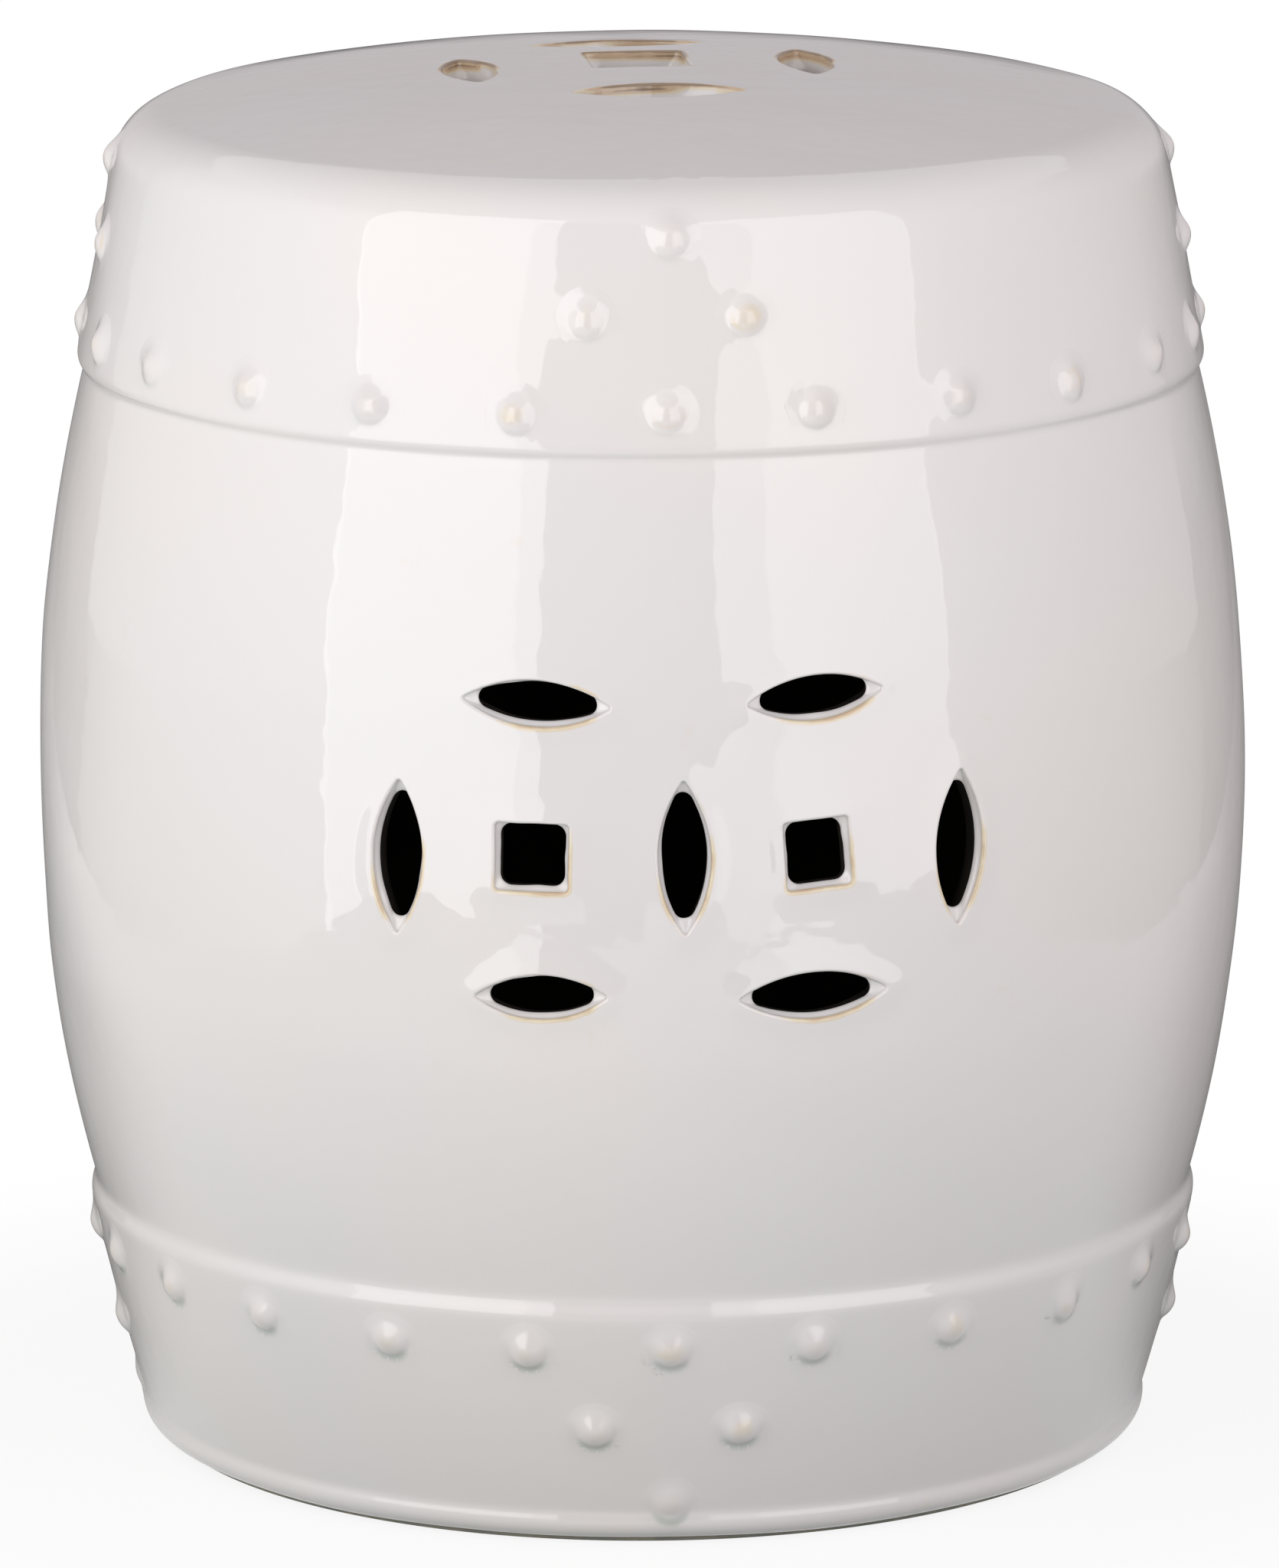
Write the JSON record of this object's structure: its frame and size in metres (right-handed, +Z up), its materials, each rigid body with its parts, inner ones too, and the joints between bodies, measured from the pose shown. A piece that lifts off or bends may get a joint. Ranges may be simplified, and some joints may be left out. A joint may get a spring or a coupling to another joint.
{
  "type": "ceramic garden stool",
  "caption": "Hollow drum-shaped garden stool of white glazed ceramic, with coins pierced through its seat and barrel and rows of small studs on its two bands.",
  "frame": {"origin": "on the floor at the centre of the foot ring", "axes": "+Z up along the stool's axis, front towards -Y, where one pierced pair of coins and one stud cluster face"},
  "size_m": [0.3783, 0.3784, 0.4328],
  "materials": {
    "white_glaze": "glossy off-white glaze, thin and tan on sharp edges",
    "bare_clay": "matt unglazed stoneware"
  },
  "bodies": {
    "root": {"seat_disc": "white_glaze", "upper_band": "white_glaze", "barrel_wall": "white_glaze", "lower_band": "white_glaze", "upper_row_studs": "white_glaze", "lower_row_studs": "white_glaze", "upper_cluster_studs_front": "white_glaze", "upper_cluster_studs_right": "white_glaze", "upper_cluster_studs_back": "white_glaze", "upper_cluster_studs_left": "white_glaze", "lower_cluster_studs_front": "white_glaze", "lower_cluster_studs_right": "white_glaze", "lower_cluster_studs_back": "white_glaze", "lower_cluster_studs_left": "white_glaze", "foot_ring": "bare_clay"}
  },
  "joints": []
}
